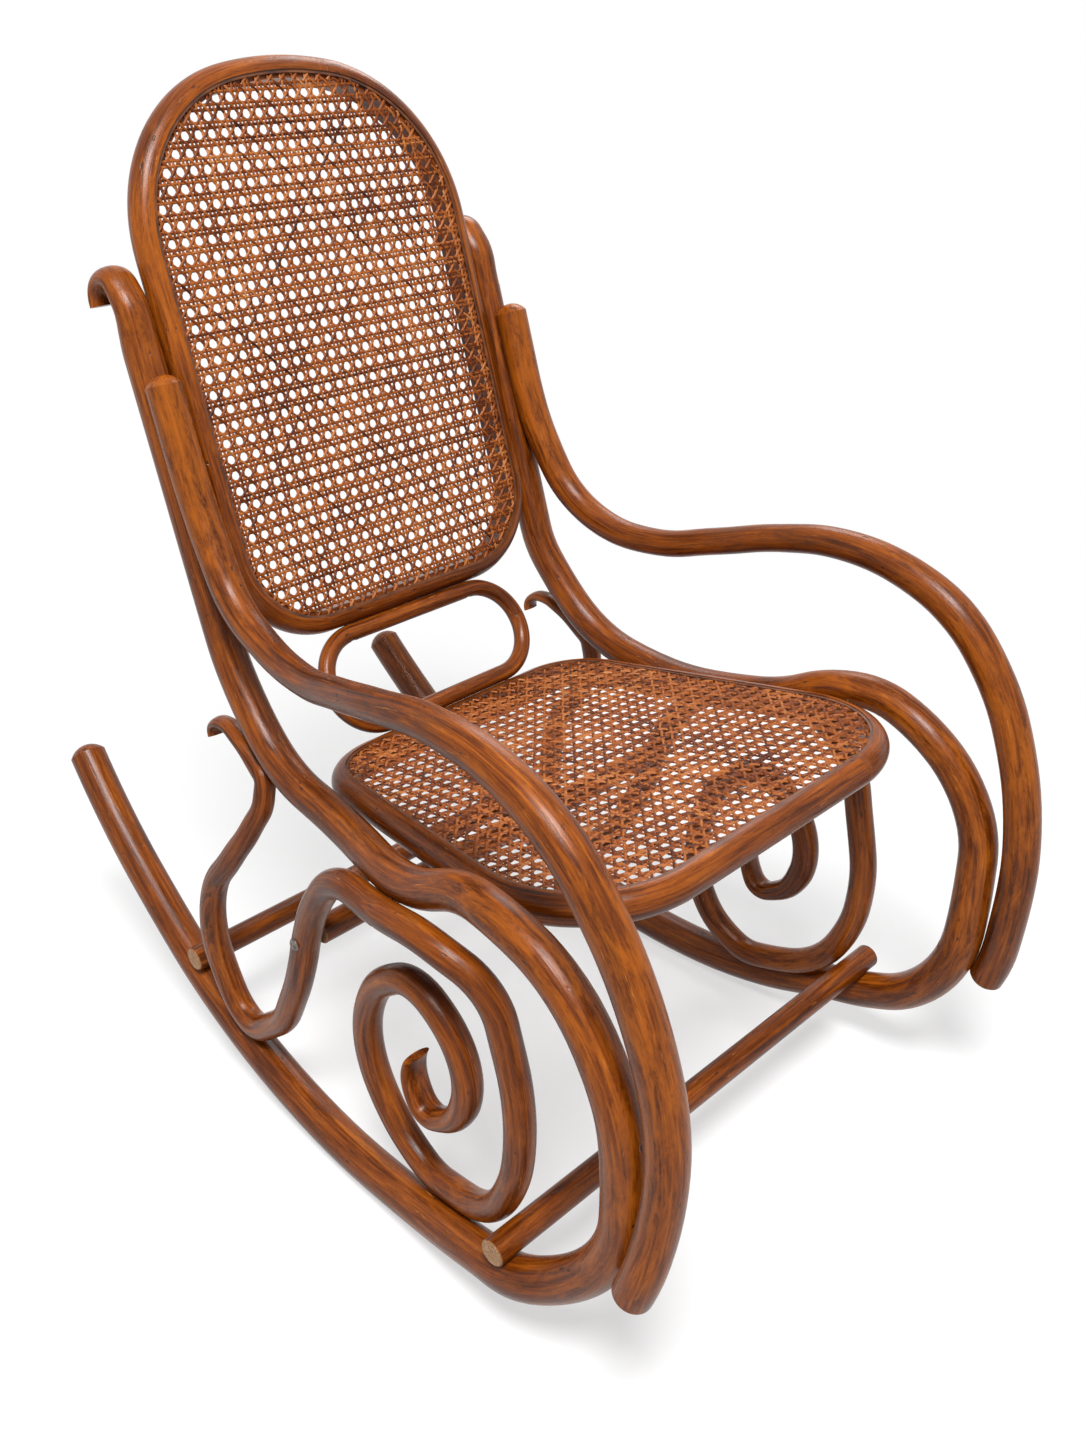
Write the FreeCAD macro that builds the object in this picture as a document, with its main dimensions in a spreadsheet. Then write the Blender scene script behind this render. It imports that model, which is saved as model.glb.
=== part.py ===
import FreeCAD, Part
import math
import os

from FreeCAD import Vector

doc = FreeCAD.newDocument("rocking_chair")

# Driving dimensions in millimetres and degrees: the chair faces -Y and stands on z = 0
sheet = doc.addObject("Spreadsheet::Sheet", "sizes")
SIZES = {
    "stile_rod": 36,
    "rocker_rod": 41,
    "arm_rod": 34,
    "arm_waist": 29,
    "arm_front_rod": 36,
    "scroll_rod": 29,
    "scroll_neck": 21,
    "hoop_rod": 33,
    "seat_rod": 31,
    "loop_rod": 18,
    "stretcher_rod": 27,
    "curl_width": 31,
    "curl_thickness": 13,
    "tip_width": 20,
    "tip_thickness": 9,
    "spiral_tip_width": 31,
    "spiral_tip_thickness": 8,
    "joint_gap": 0.1,
    "back_lean": 17.3,
    "back_foot_y": 141,
    "back_foot_height": 512,
    "stile_half_width": 215,
    "stile_setback": 6,
    "stile_length": 336,
    "stile_curl_radius": 22,
    "arm_end_height": 254,
    "arm_screw_height": 190,
    "arm_screw_lift": 14,
    "arm_bend_height": 110,
    "arm_bend_reach": 8,
    "arm_hollow": 5,
    "arm_spread": 0.17,
    "hoop_height": 522,
    "hoop_bow": 30,
    "hoop_top_corner": 148,
    "hoop_bottom_corner": 82,
    "hoop_crown_radius": 340,
    "hoop_screw_low": 110,
    "hoop_screw_high": 255,
    "frame_ledge": 7,
    "back_loop_length": 280,
    "seat_slope": 6.9,
    "seat_rear_y": 54,
    "seat_rear_height": 389,
    "seat_depth": 416,
    "seat_rear_width": 346,
    "seat_front_width": 500,
    "seat_front_corner": 105,
    "seat_rear_corner": 66,
    "rail_touch": 0.79,
    "rail_rise": 25,
    "rocker_radius": 642,
    "rocker_centre_y": -56.4,
    "stretcher_overhang": 18,
    "stretcher_chamfer": 1.5,
    "cane_thickness": 2.5,
    "cane_level": 0.72,
    "cane_pitch": 24,
    "cane_hole": 13,
    "spline_width": 3,
    "spline_depth": 3,
    "spline_crown": 0.8,
    "screw_head": 9,
    "screw_head_depth": 3,
    "screw_shank": 4.5,
    "screw_sink": 1,
    "screw_slot": 1,
    "screw_bite": 0.3,
    "bolt_head": 13,
    "bolt_dome": 3.5,
    "bolt_shank": 6,
    "bolt_seat": 0.4,
    "screw_play": 0.2,
    "end_dome": 0.55,
    "end_shoulder": 0.1,
}
for row, (name, value) in enumerate(SIZES.items(), start=1):
    sheet.set("A%d" % row, name)
    sheet.set("B%d" % row, str(value))
    sheet.setAlias("B%d" % row, name)
doc.recompute()


def size(name):
    return float(getattr(sheet, name))


def unit(v):
    return Vector(v).normalize()


def place(point, forward, lateral=Vector(1, 0, 0)):
    side = unit(lateral - forward * lateral.dot(forward))
    turn = FreeCAD.Rotation(side, forward.cross(side), forward, "ZXY")
    return FreeCAD.Placement(point, turn)


# Bent rods run along chains of arcs, each tangent to the next
def arc_edge(start, tangent, end):
    chord = end - start
    along = chord.dot(tangent)
    across = chord - tangent * along
    if across.Length < 1e-5 * chord.Length:
        return Part.LineSegment(start, end).toShape()
    rise = chord.Length / 2 * math.tan(math.atan2(across.Length, along) / 2)
    straight = unit(chord)
    middle = (start + end) * 0.5 + unit(tangent - straight * tangent.dot(straight)) * rise
    return Part.Arc(start, middle, end).toShape()


def arc_pair(p, p_tangent, q, q_tangent):
    chord = q - p
    a = 2 * (1 - p_tangent.dot(q_tangent))
    b = chord.dot(p_tangent + q_tangent)
    if a < 1e-6:
        reach = chord.dot(chord) / (2 * b)
    else:
        reach = (math.sqrt(b * b + a * chord.dot(chord)) - b) / a
    first = p + p_tangent * reach
    second = q - q_tangent * reach
    joint = (first + second) * 0.5
    return [arc_edge(p, p_tangent, joint), arc_edge(joint, unit(second - first), q)]


def tangents_of(points, given):
    found = [None] * len(points)
    for i in range(1, len(points) - 1):
        before = points[i] - points[i - 1]
        after = points[i + 1] - points[i]
        found[i] = unit(before / before.Length ** 2 + after / after.Length ** 2)
    for i, tangent in given.items():
        found[i] = unit(tangent)
    for end, near in ((0, 1), (-1, -2)):
        if found[end] is None:
            chord = unit(points[near] - points[end])
            found[end] = chord * (2 * chord.dot(found[near])) - found[near]
    return found


def section(point, tangent, width, thickness):
    if width > thickness:
        shape = Part.Ellipse(Vector(0, 0, 0), width / 2, thickness / 2).toShape()
    else:
        shape = Part.Circle(Vector(0, 0, 0), Vector(0, 0, 1), width / 2).toShape()
    shape.Placement = place(point, tangent)
    return Part.Wire(shape)


def dome(point, outward, radius, rise):
    ball_radius = (radius ** 2 + rise ** 2) / (2 * rise)
    ball = Part.makeSphere(ball_radius, point + outward * (rise - ball_radius), outward)
    return ball.common(Part.makeCylinder(radius, rise * 2, point, outward))


class Rod:
    def __init__(self, stations, sections, given=None, domes=(0, -1)):
        self.points = [Vector(*s) for s in stations]
        self.tangents = tangents_of(self.points, given or {})
        self.sections = sections
        self.domes = domes

    def path(self, first, last):
        edges = []
        for i in range(first, last):
            edges += arc_pair(self.points[i], self.tangents[i], self.points[i + 1], self.tangents[i + 1])
        return Part.Wire(edges)

    def solid(self):
        spans = []
        for (first, *start), (last, *end) in zip(self.sections, self.sections[1:]):
            shell = Part.BRepOffsetAPI.MakePipeShell(self.path(first, last))
            shell.add(section(self.points[first], self.tangents[first], *start))
            if start != end:
                shell.add(section(self.points[last], self.tangents[last], *end))
            shell.build()
            shell.makeSolid()
            spans.append(shell.shape())
        for end, sign in ((0, -1), (-1, 1)):
            if end in self.domes:
                radius = self.sections[end][2] / 2 - size("end_shoulder")
                outward = self.tangents[end] * sign
                spans.append(dome(self.points[end], outward, radius, radius * size("end_dome")))
        return spans[0].fuse(spans[1:]) if len(spans) > 1 else spans[0]


# Shared planes: the leaning back, the sloping seat and the curved rocker
LEAN = math.radians(size("back_lean"))
BACK_UP = Vector(0, math.sin(LEAN), math.cos(LEAN))
BACK_FRONT = Vector(0, -math.cos(LEAN), math.sin(LEAN))
SLOPE = math.radians(size("seat_slope"))
SEAT_BACK = Vector(0, math.cos(SLOPE), -math.sin(SLOPE))
SEAT_UP = Vector(0, math.sin(SLOPE), math.cos(SLOPE))
SIDE = Vector(1, 0, 0)
STILE_R = size("stile_rod") / 2
ROCKER_R = size("rocker_rod") / 2
ARM_R = size("arm_rod") / 2
ARM_FRONT_R = size("arm_front_rod") / 2
SCROLL_R = size("scroll_rod") / 2
HOOP_R = size("hoop_rod") / 2
SEAT_R = size("seat_rod") / 2
LOOP_R = size("loop_rod") / 2
LEDGE = size("frame_ledge")
STRETCHER_R = size("stretcher_rod") / 2
GAP = size("joint_gap")


def back_point(x, up, front=0.0):
    foot = Vector(x, size("back_foot_y"), size("back_foot_height"))
    return foot + BACK_UP * up + BACK_FRONT * front


def seat_point(x, back, up=0.0):
    rear = Vector(x, size("seat_rear_y"), size("seat_rear_height"))
    return rear + SEAT_BACK * back + SEAT_UP * up


def rocker_point(x, y):
    radius = size("rocker_radius")
    along = y - size("rocker_centre_y")
    return Vector(x, y, ROCKER_R + radius - math.sqrt(radius ** 2 - along ** 2))


def across(tangent):
    return unit(Vector(0, -tangent.z, tangent.y))


# Side frame: stile, seat rail, front loop, rocker and tail in one rod
def stile_point(up):
    return back_point(size("stile_half_width"), up, -size("stile_setback"))


def stile_curl():
    radius = size("stile_curl_radius")
    centre = stile_point(size("stile_length")) - BACK_FRONT * radius
    found = []
    for turn in (0, 65, 125, 180):
        angle = math.radians(turn)
        radial = BACK_FRONT * math.cos(angle) + BACK_UP * math.sin(angle)
        found.append(centre + radial * radius)
    return found[::-1]


SEAT_HALF_FRONT = size("seat_front_width") / 2
SEAT_HALF_REAR = size("seat_rear_width") / 2
SEAT_EDGE = unit(Vector(SEAT_HALF_REAR - SEAT_HALF_FRONT, size("seat_depth"), 0))
SEAT_TOUCH = seat_point(
    SEAT_HALF_REAR + (SEAT_HALF_FRONT - SEAT_HALF_REAR) * size("rail_touch"),
    -size("seat_depth") * size("rail_touch"))
SEAT_OUT = unit(SIDE * SEAT_EDGE.y - SEAT_BACK * SEAT_EDGE.x)
RISE = math.radians(size("rail_rise"))
RAIL_OUT = SEAT_OUT * math.cos(RISE) + SEAT_UP * math.sin(RISE)
RAIL_TOUCH = SEAT_TOUCH + RAIL_OUT * (SEAT_R + STILE_R + GAP)
RAIL_TANGENT = SIDE * SEAT_EDGE.x + SEAT_BACK * SEAT_EDGE.y

side_stations = stile_curl() + [
    stile_point(285),
    stile_point(150),
    stile_point(15),
    Vector(219, 107, 458),
    Vector(222, 69, 425),
    Vector(229, -47, 396),
    Vector(252, -154, 402),
    RAIL_TOUCH,
    Vector(268, -365, 412),
    Vector(270, -415, 348),
    Vector(266, -428, 258),
    Vector(264.6, -419, 176),
    Vector(271, -371, 104),
    Vector(279, -318, 70),
    rocker_point(275, -262),
    rocker_point(267, -190),
    rocker_point(257, -9),
    rocker_point(250, 138),
    rocker_point(245, 232),
    Vector(241, 300, 130),
    Vector(235, 392, 198),
    Vector(228, 467, 270),
]
STILE_FOOT = 8
RAIL_MIDDLE = 10
RAIL_JOINT = 11
LOOP_LOW = 15
FRONT_BAR = 17
LOOP_STAND = 19
FOOT_STAND = 21
REAR_BAR = 22
side_frame = Rod(side_stations, [
    (0, size("curl_width"), size("curl_thickness")),
    (4, size("stile_rod"), size("stile_rod")),
    (RAIL_JOINT, size("stile_rod"), size("stile_rod")),
    (LOOP_LOW, size("rocker_rod"), size("rocker_rod")),
    (25, size("rocker_rod"), size("rocker_rod")),
], {
    4: -BACK_UP,
    5: -BACK_UP,
    6: -BACK_UP,
    RAIL_JOINT: -RAIL_TANGENT,
}, domes=(-1,))


def beside(rod, station, toward, reach):
    tangent = rod.tangents[station]
    direction = unit(toward - tangent * toward.dot(tangent))
    return rod.points[station] + direction * reach


# Arms: hollowed to lie along the stiles at the top, and against the front loops at the bottom
def arm_on_stile(up, reach=0.0):
    distance = STILE_R + ARM_R + GAP - size("arm_hollow") + reach
    return stile_point(up) + unit(BACK_FRONT + SIDE * size("arm_spread")) * distance


ARM_STILE = 1
ARM_LOOP = 15
arm_foot = beside(side_frame, LOOP_LOW, Vector(0.4, -1, 0), ROCKER_R + ARM_FRONT_R + GAP)
arm = Rod([
    arm_on_stile(size("arm_end_height")),
    arm_on_stile(size("arm_screw_height")),
    arm_on_stile(size("arm_bend_height"), size("arm_bend_reach")),
    Vector(226, 103, 572),
    Vector(230, 49, 546),
    Vector(240, -18, 542),
    Vector(253, -85, 558),
    Vector(265, -151, 576),
    Vector(270, -221, 588),
    Vector(272, -292, 582),
    Vector(274, -359, 553),
    Vector(274, -412, 496),
    Vector(271, -449, 420),
    Vector(268, -468, 340),
    Vector(270, -469, 260),
    arm_foot,
], [
    (0, size("arm_rod"), size("arm_rod")),
    (2, size("arm_rod"), size("arm_rod")),
    (5, size("arm_waist"), size("arm_waist")),
    (7, size("arm_waist"), size("arm_waist")),
    (10, size("arm_front_rod"), size("arm_front_rod")),
    (ARM_LOOP, size("arm_front_rod"), size("arm_front_rod")),
], {
    0: -BACK_UP,
    ARM_STILE: -BACK_UP,
    ARM_LOOP: side_frame.tangents[LOOP_LOW],
})
arm_bed = Part.makeCylinder(
    STILE_R + GAP, size("stile_length") - size("arm_bend_height"),
    stile_point(size("arm_bend_height")), BACK_UP)


# Scroll braces: curl behind the stile, stand on the rocker twice and end in a spiral
NECK_R = size("scroll_neck") / 2
SCROLL_STILE = 5
SCROLL_FOOT = 12
SCROLL_LIMB = 16
SCROLL_RAIL = 19
SCROLL_STAND = 26
scroll = Rod([
    Vector(225, 170, 411),
    Vector(225, 170, 420),
    Vector(226, 161, 429),
    Vector(226, 146, 432),
    Vector(228, 119, 424),
    beside(side_frame, STILE_FOOT, Vector(0.3, 0.6, -0.75), STILE_R + NECK_R + GAP),
    Vector(236, 78, 378),
    Vector(246, 93, 340),
    Vector(254, 119, 300),
    Vector(258, 156, 246),
    Vector(259, 168, 187),
    Vector(256, 165, 141),
    beside(side_frame, FOOT_STAND, Vector(0.1, 0, 1), ROCKER_R + SCROLL_R + GAP),
    Vector(255, 67, 114),
    Vector(258, 24, 181),
    Vector(260, 2, 232),
    Vector(260, -9, 268),
    Vector(262, -32, 319),
    Vector(265, -68, 363),
    beside(side_frame, RAIL_MIDDLE, Vector(0.75, 0.1, -0.66), STILE_R + SCROLL_R + GAP),
    Vector(279, -221, 385),
    Vector(265, -270, 356),
    Vector(260, -294, 292),
    Vector(261, -305, 219),
    Vector(261, -296, 156),
    Vector(258, -263, 98),
    beside(side_frame, LOOP_STAND, Vector(-0.5, 0, 0.87), ROCKER_R + SCROLL_R + GAP),
    Vector(246, -130, 82),
    Vector(247, -100, 118),
    Vector(251, -86, 173),
    Vector(254, -94, 229),
    Vector(256, -124, 278),
    Vector(257, -169, 300),
    Vector(257, -209, 281),
    Vector(256, -232, 239),
    Vector(256, -229, 197),
    Vector(256, -207, 165),
    Vector(256, -176, 155),
    Vector(256, -161, 176),
    Vector(256, -163, 213),
], [
    (0, size("tip_width"), size("tip_thickness")),
    (SCROLL_STILE, size("scroll_neck"), size("scroll_neck")),
    (10, size("scroll_rod"), size("scroll_rod")),
    (35, size("scroll_rod"), size("scroll_rod")),
    (39, size("spiral_tip_width"), size("spiral_tip_thickness")),
], {
    SCROLL_STILE: side_frame.tangents[STILE_FOOT],
    SCROLL_FOOT: -side_frame.tangents[FOOT_STAND],
    SCROLL_RAIL: side_frame.tangents[RAIL_MIDDLE],
    SCROLL_STAND: side_frame.tangents[LOOP_STAND],
}, domes=())


# Flat frames: a round rod bent to a rounded outline, with a seat cut for the cane
def loop_wire(corners, radii, at):
    flat = []
    count = len(corners)
    trims = []
    for i, (corner, radius) in enumerate(zip(corners, radii)):
        here = Vector(*corner, 0)
        before = unit(Vector(*corners[i - 1], 0) - here)
        after = unit(Vector(*corners[(i + 1) % count], 0) - here)
        half = before.getAngle(after) / 2
        run = radius / math.tan(half)
        bisector = unit(before + after)
        middle = here + bisector * (radius / math.sin(half) - radius)
        trims.append((here + before * run, middle, here + after * run))
    for i, (start, middle, end) in enumerate(trims):
        flat.append(Part.Arc(start, middle, end).toShape())
        onward = trims[(i + 1) % count][0]
        if (onward - end).Length > 1e-4:
            flat.append(Part.makeLine(end, onward))
    wire = Part.Wire(flat)
    wire.Placement = at
    return wire


class Frame:
    def __init__(self, corners, radii, origin, normal, rod):
        self.corners = corners
        self.radii = radii
        self.at = place(origin, normal)
        self.rod = rod
        self.level = rod * size("cane_level")

    def outline(self, inward=0.0):
        wire = loop_wire(self.corners, self.radii, FreeCAD.Placement())
        if inward:
            wire = wire.makeOffset2D(-inward)
        return wire

    def slab(self, inward, low, high, inner=None):
        faces = [self.outline(inward)]
        if inner is not None:
            faces.append(self.outline(inner))
        face = Part.makeFace(faces, "Part::FaceMakerBullseye")
        solid = face.extrude(Vector(0, 0, high - low))
        solid.translate(Vector(0, 0, low))
        solid.Placement = self.at.multiply(solid.Placement)
        return solid

    def ring(self):
        wire = self.outline()
        wire.Placement = self.at
        edge = wire.OrderedEdges[0]
        start = edge.valueAt(edge.FirstParameter)
        profile = Part.Wire(Part.makeCircle(self.rod, start, edge.tangentAt(edge.FirstParameter)))
        return wire.makePipeShell([profile], True, False)

    def caned_ring(self):
        above = self.rod * 1.5
        rabbet = self.slab(0, self.level, above)
        groove = self.slab(0, self.level - size("spline_depth"), above, size("spline_width"))
        inside = self.slab(LEDGE, -above, above)
        return self.ring().cut([rabbet, groove, inside])

    def spline(self):
        top = self.level + size("cane_thickness") + size("spline_crown")
        return self.slab(0, self.level - size("spline_depth"), top, size("spline_width"))

    def cane(self):
        edge = size("spline_width")
        outer = self.outline(edge)
        limit = Part.Face(self.outline(LEDGE + size("cane_hole") / 2))
        box = limit.BoundBox
        pitch = size("cane_pitch")
        holes = []
        columns = int(box.XLength / pitch / 2)
        rows = int(box.YLength / pitch / 2) + 1
        centre_y = (box.YMin + box.YMax) / 2
        for i in range(-columns, columns + 1):
            for j in range(-rows, rows + 1):
                spot = Vector(i * pitch, centre_y + j * pitch, 0)
                if limit.isInside(spot, 0.01, True):
                    holes.append(Part.Wire(Part.makeCircle(size("cane_hole") / 2, spot)))
        face = Part.makeFace([outer] + holes, "Part::FaceMakerBullseye")
        solid = face.extrude(Vector(0, 0, size("cane_thickness")))
        solid.translate(Vector(0, 0, self.level))
        solid.Placement = self.at.multiply(solid.Placement)
        return solid


hoop_half = size("stile_half_width") - math.sqrt(
    (STILE_R + HOOP_R + GAP) ** 2 - size("stile_setback") ** 2)
hoop_corner = size("hoop_height") - size("hoop_bow")
hoop = Frame(
    [(0, size("hoop_height")), (-hoop_half, hoop_corner), (-hoop_half, 0), (hoop_half, 0),
     (hoop_half, hoop_corner)],
    [size("hoop_crown_radius"), size("hoop_top_corner"), size("hoop_bottom_corner"),
     size("hoop_bottom_corner"), size("hoop_top_corner")],
    back_point(0, 0), BACK_FRONT, HOOP_R)
seat = Frame(
    [(SEAT_HALF_FRONT, -size("seat_depth")), (SEAT_HALF_REAR, 0), (-SEAT_HALF_REAR, 0),
     (-SEAT_HALF_FRONT, -size("seat_depth"))],
    [size("seat_front_corner"), size("seat_rear_corner"), size("seat_rear_corner"),
     size("seat_front_corner")],
    seat_point(0, 0), SEAT_UP, SEAT_R)

# Back loop: fills the space between the hoop and the seat ring
between = unit(back_point(0, 0) - seat_point(0, 0))
loop_top = back_point(0, 0) - between * (HOOP_R + LOOP_R + GAP)
loop_bottom = seat_point(0, 0) + between * (SEAT_R + LOOP_R + GAP)
loop_half = (loop_top - loop_bottom).Length / 2
loop_side = size("back_loop_length") / 2 - LOOP_R
back_loop = Frame(
    [(loop_side, loop_half), (-loop_side, loop_half), (-loop_side, -loop_half), (loop_side, -loop_half)],
    [loop_half - 0.5] * 4,
    (loop_top + loop_bottom) * 0.5, unit(SIDE.cross(between)), LOOP_R)


# Stretchers: straight round bars on the rockers, and one between the scroll braces
def bar_centre(station):
    tangent = side_frame.tangents[station]
    centre = beside(side_frame, station, across(tangent), ROCKER_R + STRETCHER_R + GAP)
    return Vector(0, centre.y, centre.z)


limb = scroll.points[SCROLL_LIMB]
front_centre = bar_centre(FRONT_BAR)
rear_centre = bar_centre(REAR_BAR)
middle_centre = Vector(0, limb.y, limb.z)
front_reach = side_frame.points[FRONT_BAR].x + size("stretcher_overhang")
rear_reach = side_frame.points[REAR_BAR].x + size("stretcher_overhang")
middle_reach = limb.x - SCROLL_R - GAP


# Countersunk screws: the head is sunk in one rod and the shank ends in the next
def screw(rod_centre, rod_radius, next_centre, next_radius, play=0.0):
    axis = unit(next_centre - rod_centre)
    head = rod_centre - axis * (rod_radius - size("screw_sink"))
    tip = next_centre + axis * (next_radius * size("screw_bite"))
    head_radius = size("screw_head") / 2 + play
    shank_radius = size("screw_shank") / 2 + play
    cone = Part.makeCone(head_radius, shank_radius, size("screw_head_depth"), head, axis)
    shank = Part.makeCylinder(shank_radius, (tip - head).Length + play, head, axis)
    if play:
        mouth = Part.makeCylinder(head_radius, size("screw_head"), head, -axis)
        return cone.fuse([shank, mouth])
    reach = size("screw_head")
    width = size("screw_slot")
    slot = Part.makeBox(reach * 2, width, width, Vector(-reach, -width / 2, -width / 2))
    slot.Placement = place(head, axis)
    return cone.fuse(shank).cut(slot)


def bolt(play=0.0):
    start = limb + SIDE * (SCROLL_R + play)
    shank = Part.makeCylinder(size("bolt_shank") / 2 + play, SCROLL_R * 4 + 3 * play, start, -SIDE)
    if play:
        return shank
    seated = start + SIDE * size("bolt_seat")
    head = dome(seated, SIDE, size("bolt_head") / 2, size("bolt_dome"))
    return head.fuse(Part.makeCylinder(size("bolt_shank") / 2, SCROLL_R * 4, seated, -SIDE))


arm_screw_lift = side_frame.tangents[LOOP_LOW] * -size("arm_screw_lift")
hoop_side = Vector(hoop_half, 0, 0)
loop_screw_x = Vector(loop_side - loop_half, 0, 0)
JOINTS = {
    "arm_screws": [
        (stile_point(size("arm_screw_height")), STILE_R, arm.points[ARM_STILE], ARM_R),
        (side_frame.points[LOOP_LOW] + arm_screw_lift, ROCKER_R, arm_foot + arm_screw_lift, ARM_FRONT_R),
    ],
    "hoop_screws": [
        (back_point(0, up) + hoop_side, LEDGE, stile_point(up), STILE_R)
        for up in (size("hoop_screw_low"), size("hoop_screw_high"))
    ],
    "seat_screws": [
        (SEAT_TOUCH, LEDGE, side_frame.points[RAIL_JOINT], STILE_R),
    ],
    "back_loop_screws": [
        (loop_top + loop_screw_x, LOOP_R, back_point(0, 0) + loop_screw_x, HOOP_R),
        (seat_point(0, 0) + loop_screw_x, SEAT_R, loop_bottom + loop_screw_x, LOOP_R),
    ],
    "scroll_screws": [
        (scroll.points[SCROLL_STILE], NECK_R, side_frame.points[STILE_FOOT], STILE_R),
        (side_frame.points[FOOT_STAND], ROCKER_R, scroll.points[SCROLL_FOOT], SCROLL_R),
        (scroll.points[SCROLL_RAIL], SCROLL_R, side_frame.points[RAIL_MIDDLE], STILE_R),
        (side_frame.points[LOOP_STAND], ROCKER_R, scroll.points[SCROLL_STAND], SCROLL_R),
    ],
    "stretcher_screws": [
        (side_frame.points[FRONT_BAR], ROCKER_R,
         front_centre + SIDE * side_frame.points[FRONT_BAR].x, STRETCHER_R),
        (side_frame.points[REAR_BAR], ROCKER_R,
         rear_centre + SIDE * side_frame.points[REAR_BAR].x, STRETCHER_R),
    ],
}


def mirrored(shape):
    return shape.mirror(Vector(0, 0, 0), SIDE)


def holes_of(*names):
    return [screw(*joint, play=size("screw_play")) for name in names for joint in JOINTS[name]]


def both_sides(shapes):
    return Part.Compound(shapes + [mirrored(shape) for shape in shapes])


def one_solid(shape):
    return shape.Solids[0]


# Left pieces are on +X; each right piece is the mirror image of the left one
left = {
    "side_frame": one_solid(side_frame.solid().cut(holes_of(
        "arm_screws", "hoop_screws", "seat_screws", "scroll_screws", "stretcher_screws"))),
    "arm": one_solid(arm.solid().cut([arm_bed] + holes_of("arm_screws"))),
    "scroll": one_solid(scroll.solid().cut(holes_of("scroll_screws") + [bolt(size("screw_play"))])),
}
hoop_holes = both_sides(holes_of("hoop_screws", "back_loop_screws")).Solids
seat_holes = both_sides(holes_of("seat_screws", "back_loop_screws")).Solids
loop_holes = both_sides(holes_of("back_loop_screws")).Solids
stretcher_holes = both_sides(holes_of("stretcher_screws") + [bolt(size("screw_play"))])
pieces = {
    "back_hoop": one_solid(hoop.caned_ring().cut(hoop_holes)),
    "back_cane_spline": hoop.spline(),
    "back_cane_panel": hoop.cane(),
    "seat_ring": one_solid(seat.caned_ring().cut(seat_holes)),
    "seat_cane_spline": seat.spline(),
    "seat_cane_panel": seat.cane(),
    "back_loop": one_solid(back_loop.ring().cut(loop_holes)),
    "scroll_bolts": both_sides([bolt()]),
}
for name, shape in left.items():
    pieces[name + "_left"] = shape
    pieces[name + "_right"] = mirrored(shape)
for name, joints in JOINTS.items():
    pieces[name] = both_sides([screw(*joint) for joint in joints])

nodes = []
for name, shape in pieces.items():
    node = doc.addObject("Part::Feature", name)
    node.Label = name
    node.Shape = shape
    node.Placement = shape.Placement
    nodes.append(node)

holes = doc.addObject("Part::Feature", "stretcher_holes")
holes.Shape = stretcher_holes
for name, centre, reach in (
        ("front_stretcher", front_centre, front_reach),
        ("rear_stretcher", rear_centre, rear_reach),
        ("middle_stretcher", middle_centre, middle_reach)):
    round_bar = doc.addObject("Part::Cylinder", name + "_bar")
    round_bar.setExpression("Radius", "sizes.stretcher_rod / 2")
    round_bar.Height = 2 * reach
    round_bar.Placement = FreeCAD.Placement(centre - SIDE * reach, FreeCAD.Rotation(Vector(0, 0, 1), SIDE))
    doc.recompute()
    rims = [i for i, edge in enumerate(round_bar.Shape.Edges, start=1) if len(edge.Vertexes) == 1]
    chamfered = doc.addObject("Part::Chamfer", name + "_ends")
    chamfered.Base = round_bar
    chamfered.Edges = [(rim, size("stretcher_chamfer"), size("stretcher_chamfer")) for rim in rims]
    drilled = doc.addObject("Part::Cut", name)
    drilled.Label = name
    drilled.Base = chamfered
    drilled.Tool = holes
    nodes.append(drilled)
doc.recompute()

for item in doc.Objects:
    if "Invalid" in item.State or "Error" in item.State:
        raise RuntimeError(item.Name + " failed: " + ", ".join(item.State))
os.makedirs("parts", exist_ok=True)
for node in nodes:
    if node.Shape.isNull() or not node.Shape.isValid():
        raise RuntimeError(node.Label + " has no valid shape")
    node.Shape.exportStep("parts/" + node.Label + ".step")
    print(node.Label, "solids", len(node.Shape.Solids), "volume", round(node.Shape.Volume))
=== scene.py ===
import math

import bpy
import numpy as np
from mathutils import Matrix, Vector
from mathutils.kdtree import KDTree


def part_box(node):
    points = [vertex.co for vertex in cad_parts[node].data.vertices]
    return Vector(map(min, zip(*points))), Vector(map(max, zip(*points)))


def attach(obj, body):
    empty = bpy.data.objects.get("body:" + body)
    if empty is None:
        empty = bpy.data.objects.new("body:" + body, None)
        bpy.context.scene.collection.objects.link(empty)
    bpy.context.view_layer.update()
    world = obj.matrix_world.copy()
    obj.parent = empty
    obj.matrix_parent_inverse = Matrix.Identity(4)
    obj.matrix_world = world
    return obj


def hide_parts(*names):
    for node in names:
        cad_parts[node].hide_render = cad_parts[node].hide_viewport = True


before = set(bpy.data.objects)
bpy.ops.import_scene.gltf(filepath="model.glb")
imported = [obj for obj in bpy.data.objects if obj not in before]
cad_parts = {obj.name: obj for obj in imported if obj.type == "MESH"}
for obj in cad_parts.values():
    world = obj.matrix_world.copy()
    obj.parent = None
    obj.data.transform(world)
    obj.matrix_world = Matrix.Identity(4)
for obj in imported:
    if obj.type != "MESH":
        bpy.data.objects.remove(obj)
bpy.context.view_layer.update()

# Side frames: each is one beech rod, steamed and bent into the stile, the seat rail, the front
# loop, the rocker and the tail. The rod is stained red-brown and finished with a satin varnish,
# which age has rubbed to orange on the crests and darkened in the hollows.
MM = 0.001
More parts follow.
